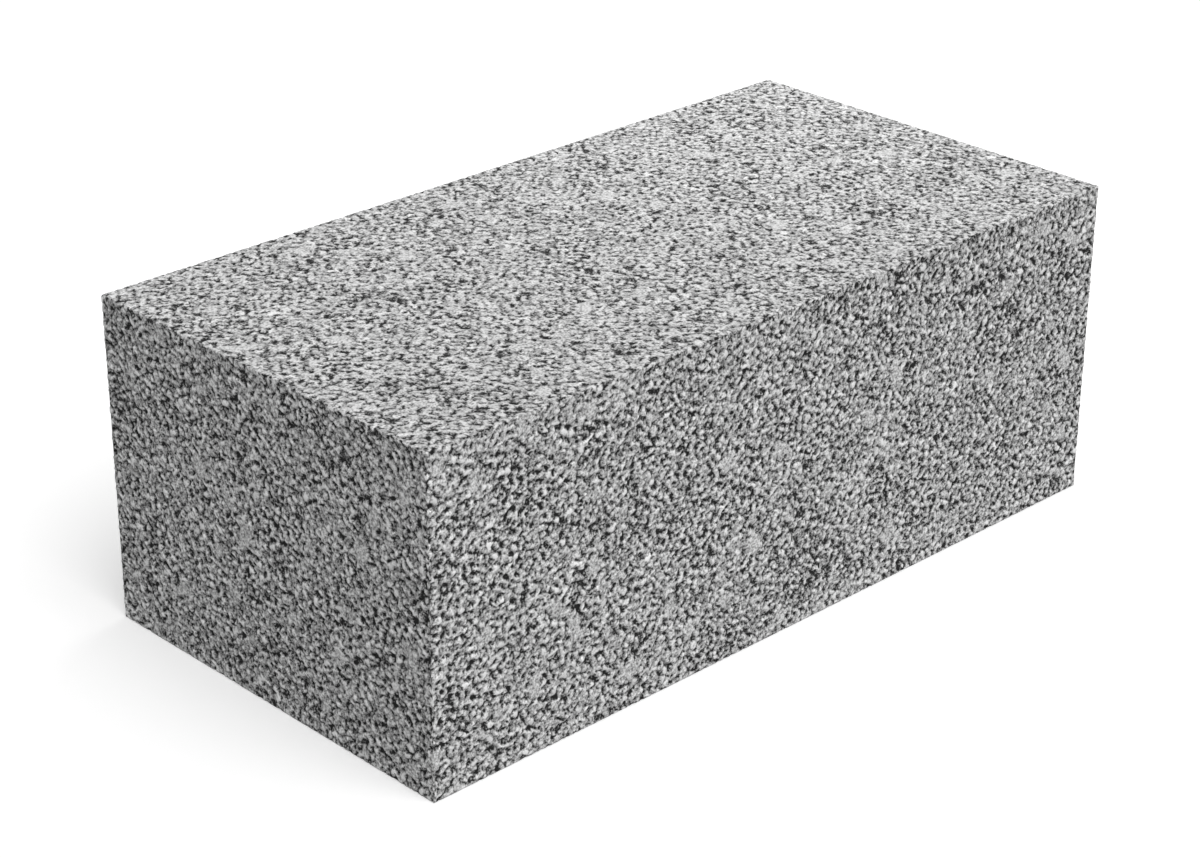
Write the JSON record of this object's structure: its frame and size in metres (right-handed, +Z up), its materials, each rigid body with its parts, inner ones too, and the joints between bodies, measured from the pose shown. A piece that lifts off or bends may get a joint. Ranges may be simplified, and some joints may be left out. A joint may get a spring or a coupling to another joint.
{
  "type": "solid lightweight concrete block",
  "caption": "Solid rectangular masonry block of open-textured lightweight concrete, laid on its flat bed faces to build a wall.",
  "frame": {"origin": "middle of the lower bed face, on the surface that the block lies on", "axes": "+X along the block's length in the wall, +Y through the wall, +Z up through the course"},
  "size_m": [0.49, 0.25, 0.185],
  "materials": {
    "concrete": "matte, open-textured granules bound with grey cement"
  },
  "bodies": {
    "root": {"block": "concrete"}
  },
  "joints": []
}
